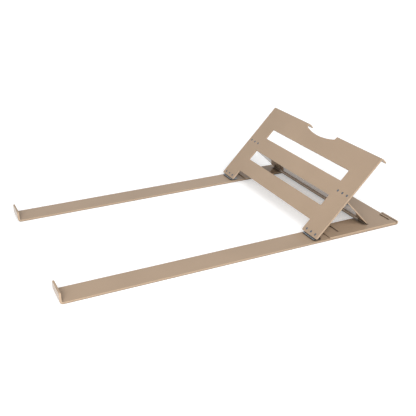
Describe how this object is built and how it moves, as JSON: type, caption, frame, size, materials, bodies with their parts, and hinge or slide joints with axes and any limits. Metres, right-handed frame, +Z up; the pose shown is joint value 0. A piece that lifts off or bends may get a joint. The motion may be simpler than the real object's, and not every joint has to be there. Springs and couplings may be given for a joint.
{
  "type": "laptop_stand",
  "caption": "Folding laptop stand of painted sheet metal: flat arms with front hooks, a leaning slotted panel on butt hinges, and a hinged strut that stands on a slotted base plate.",
  "frame": {"origin": "on the floor, under the middle of the stand's box", "axes": "+X to the user's right, +Y from the front hooks to the rear, +Z up"},
  "size_m": [0.16, 0.279, 0.0608],
  "materials": {
    "taupe_paint": "satin taupe powder coat on steel sheet",
    "hinge_steel": "bare steel, slightly blue-grey",
    "rivet_steel": "bright steel rivet heads",
    "pad_rubber": "thin black non-slip rubber sheet"
  },
  "bodies": {
    "base": {"base_plate": "taupe_paint", "left_arm": "taupe_paint", "left_foot_hinge_arm_leaf": "hinge_steel", "left_foot_hinge_arm_rivets": "rivet_steel", "left_foot_hinge_pin": "hinge_steel", "left_front_pad": "pad_rubber", "left_rear_pad": "pad_rubber", "right_arm": "taupe_paint", "right_foot_hinge_arm_leaf": "hinge_steel", "right_foot_hinge_arm_rivets": "rivet_steel", "right_foot_hinge_pin": "hinge_steel", "right_front_pad": "pad_rubber", "right_rear_pad": "pad_rubber"},
    "panel": {"left_foot_hinge_panel_leaf": "hinge_steel", "left_foot_hinge_panel_rivets": "rivet_steel", "left_strut_hinge_panel_leaf": "hinge_steel", "left_strut_hinge_panel_rivets": "rivet_steel", "left_strut_hinge_pin": "hinge_steel", "panel": "taupe_paint", "right_foot_hinge_panel_leaf": "hinge_steel", "right_foot_hinge_panel_rivets": "rivet_steel", "right_strut_hinge_panel_leaf": "hinge_steel", "right_strut_hinge_panel_rivets": "rivet_steel", "right_strut_hinge_pin": "hinge_steel"},
    "strut": {"left_strut_hinge_strut_leaf": "hinge_steel", "left_strut_hinge_strut_rivets": "rivet_steel", "right_strut_hinge_strut_leaf": "hinge_steel", "right_strut_hinge_strut_rivets": "rivet_steel", "strut": "taupe_paint"}
  },
  "joints": [
    {"name": "panel_tilt", "type": "hinge", "parent": "base", "child": "panel", "pos_m": [0, 0.05958, 0.0027], "axis": [1, 0, 0], "range_deg": [-41, 25]},
    {"name": "strut_fold", "type": "hinge", "parent": "panel", "child": "strut", "pos_m": [0, 0.08723, 0.0295], "axis": [1, 0, 0], "range_deg": [-52, 85.5]}
  ],
  "couplings": [
    {"joint": "strut_fold", "follows": "panel_tilt", "ratio": -2.0751}
  ]
}
